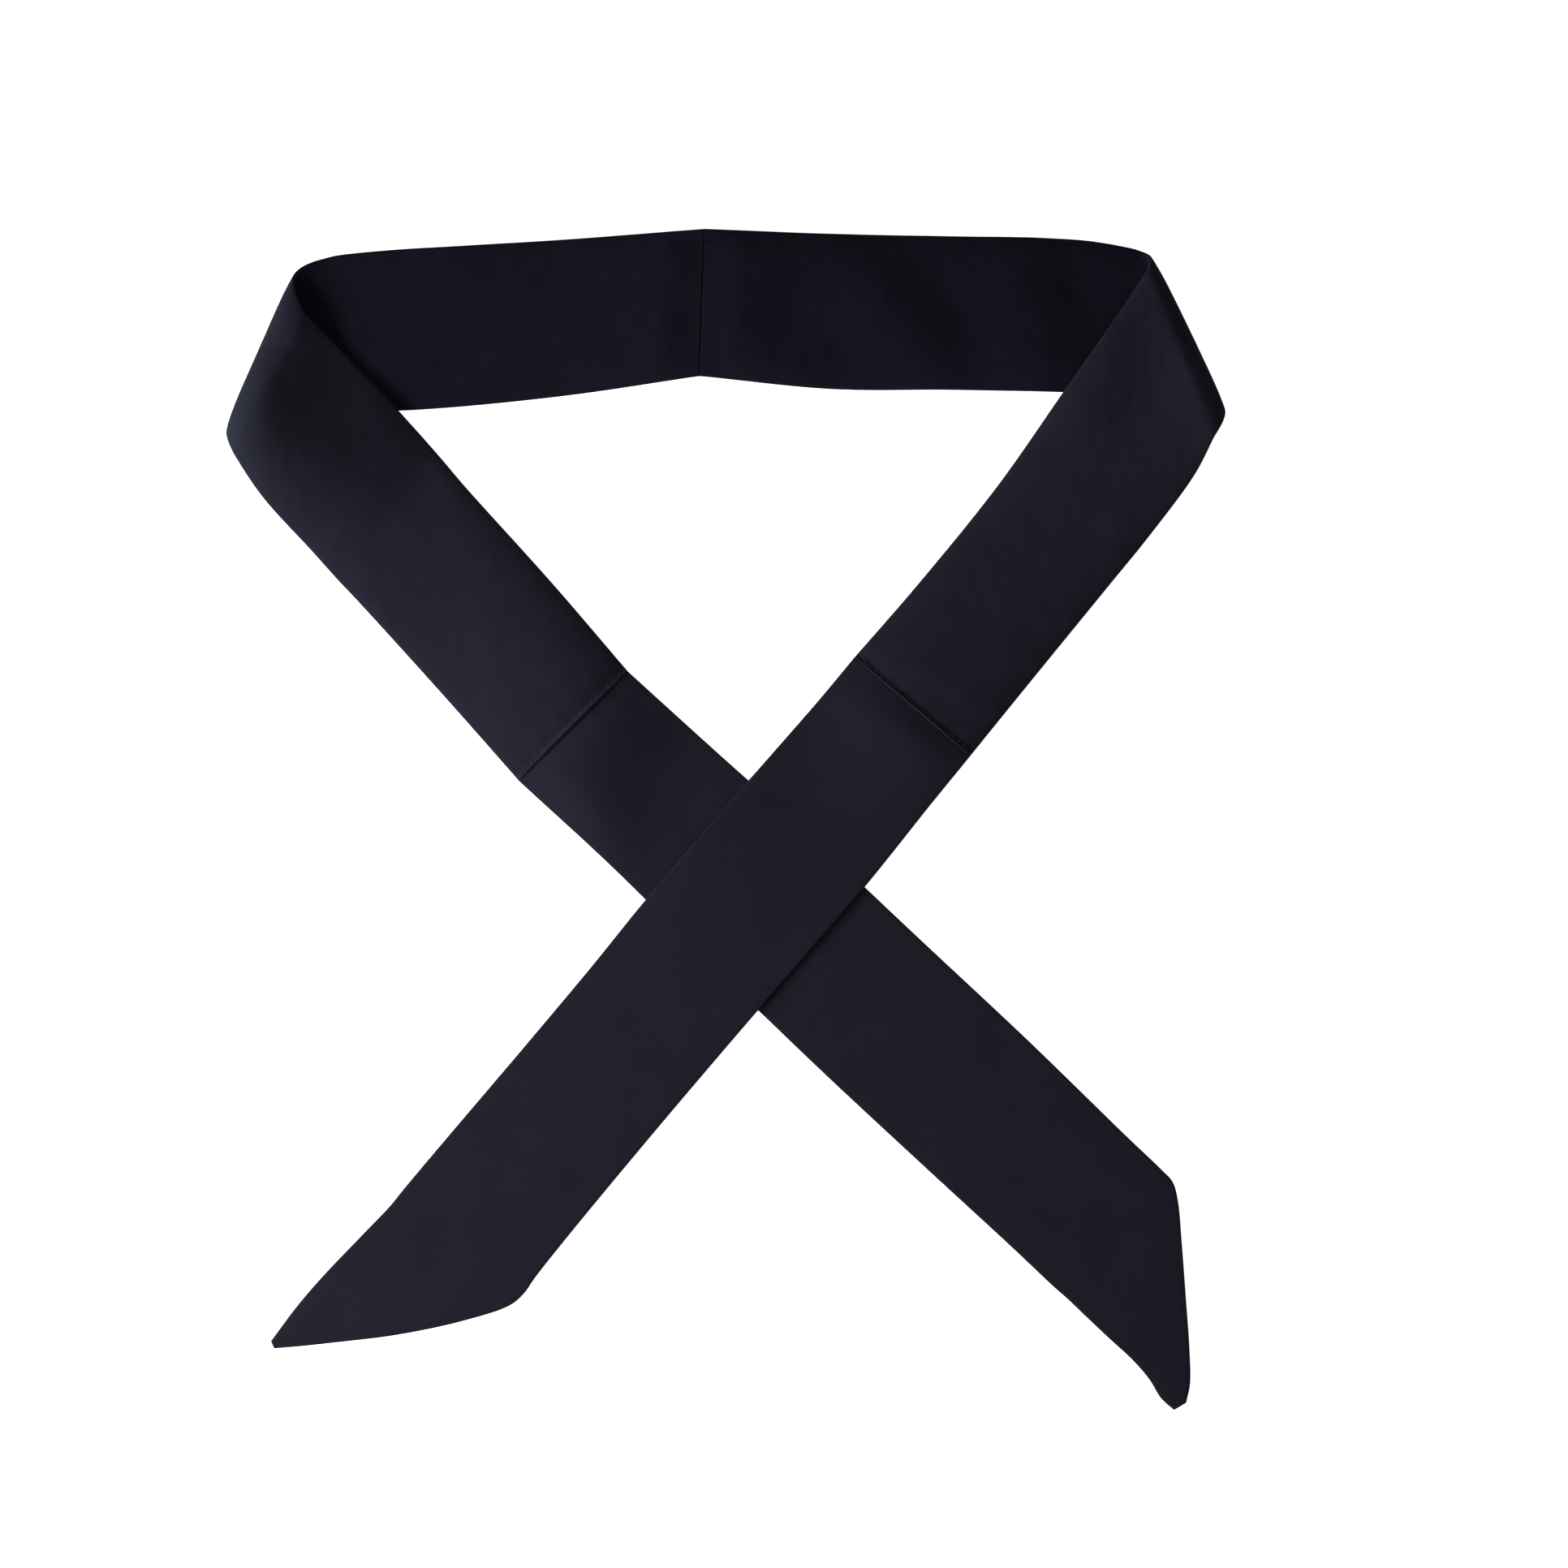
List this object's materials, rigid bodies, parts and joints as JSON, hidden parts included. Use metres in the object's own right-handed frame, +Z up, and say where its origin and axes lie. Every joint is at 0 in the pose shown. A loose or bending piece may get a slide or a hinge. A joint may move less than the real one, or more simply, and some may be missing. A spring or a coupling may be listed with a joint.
{
  "type": "cooling neck wrap",
  "caption": "Flat cloth cooling neck wrap, folded over at both sides of the neck band and laid down with its slanted tie ends crossed.",
  "frame": {"origin": "on the table, under the middle of the outline", "axes": "+X to the right of the picture, +Y from the tips towards the neck band, +Z up"},
  "size_m": [0.3221, 0.3824, 0.0153],
  "materials": {
    "navy_cotton": "fine plain weave, matt with a faint sheen",
    "navy_thread": "spun sewing thread"
  },
  "bodies": {
    "root": {"left_pocket": "navy_cotton", "right_pocket": "navy_cotton", "left_tie_end": "navy_cotton", "right_tie_end": "navy_cotton"}
  },
  "joints": []
}
